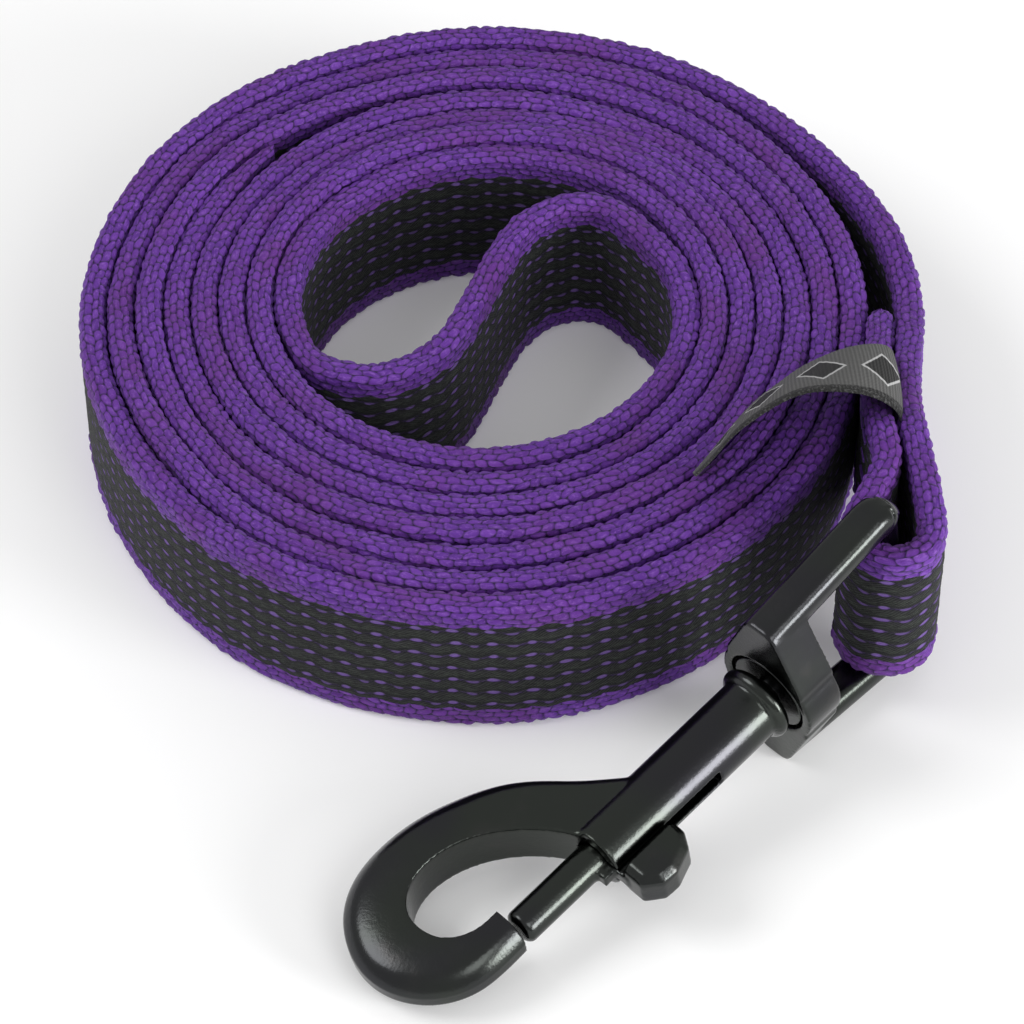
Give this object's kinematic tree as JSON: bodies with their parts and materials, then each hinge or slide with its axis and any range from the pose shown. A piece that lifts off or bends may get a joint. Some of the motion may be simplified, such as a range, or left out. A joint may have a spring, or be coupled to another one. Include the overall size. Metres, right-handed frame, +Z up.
{
  "type": "training leash",
  "caption": "Flat woven webbing training leash wound into an upright coil, with a small woven label and a swivelling bolt snap sewn to its outer end.",
  "frame": {"origin": "centre of the whole object's footprint, on the surface that it rests on", "axes": "+Z up along the coil's axis, the webbing standing on its edge; -Y towards the bolt snap's side; +X towards the sewn end with the label"},
  "size_m": [0.0996, 0.1374, 0.0316],
  "materials": {
    "webbing_fabric": "woven, matte with a slight sheen",
    "label_ribbon": "woven ribbed ribbon, matte",
    "sewing_thread": "twisted thread, matte",
    "black_nickel": "polished black nickel plate",
    "spring_steel": "drawn wire"
  },
  "bodies": {
    "leash": {"webbing": "webbing_fabric", "label": "label_ribbon", "hook_end_stitching": "sewing_thread", "handle_stitching": "sewing_thread"},
    "eye": {"swivel_eye": "black_nickel"},
    "snap": {"hook_body": "black_nickel", "swivel_rivet": "black_nickel", "swivel_washer": "black_nickel", "gate_spring": "spring_steel"},
    "bolt": {"gate_bolt": "black_nickel"}
  },
  "joints": [
    {"name": "eye_swing", "type": "hinge", "parent": "leash", "child": "eye", "pos_m": [0.04306, -0.01924, 0.01593], "axis": [-0.1228, -0.1228, 0.9848], "range_deg": [-15, 50]},
    {"name": "snap_swivel", "type": "hinge", "parent": "eye", "child": "snap", "pos_m": [0.03122, -0.03108, 0.01298], "axis": [-0.6964, -0.6964, -0.1736], "continuous": true},
    {"name": "gate_slide", "type": "slide", "parent": "snap", "child": "bolt", "axis": [0.6964, 0.6964, 0.1736], "range_m": [0, 0.008], "stiffness_N_per_m": 350, "springref_m": -0.003, "deforming": ["gate_spring"]}
  ]
}
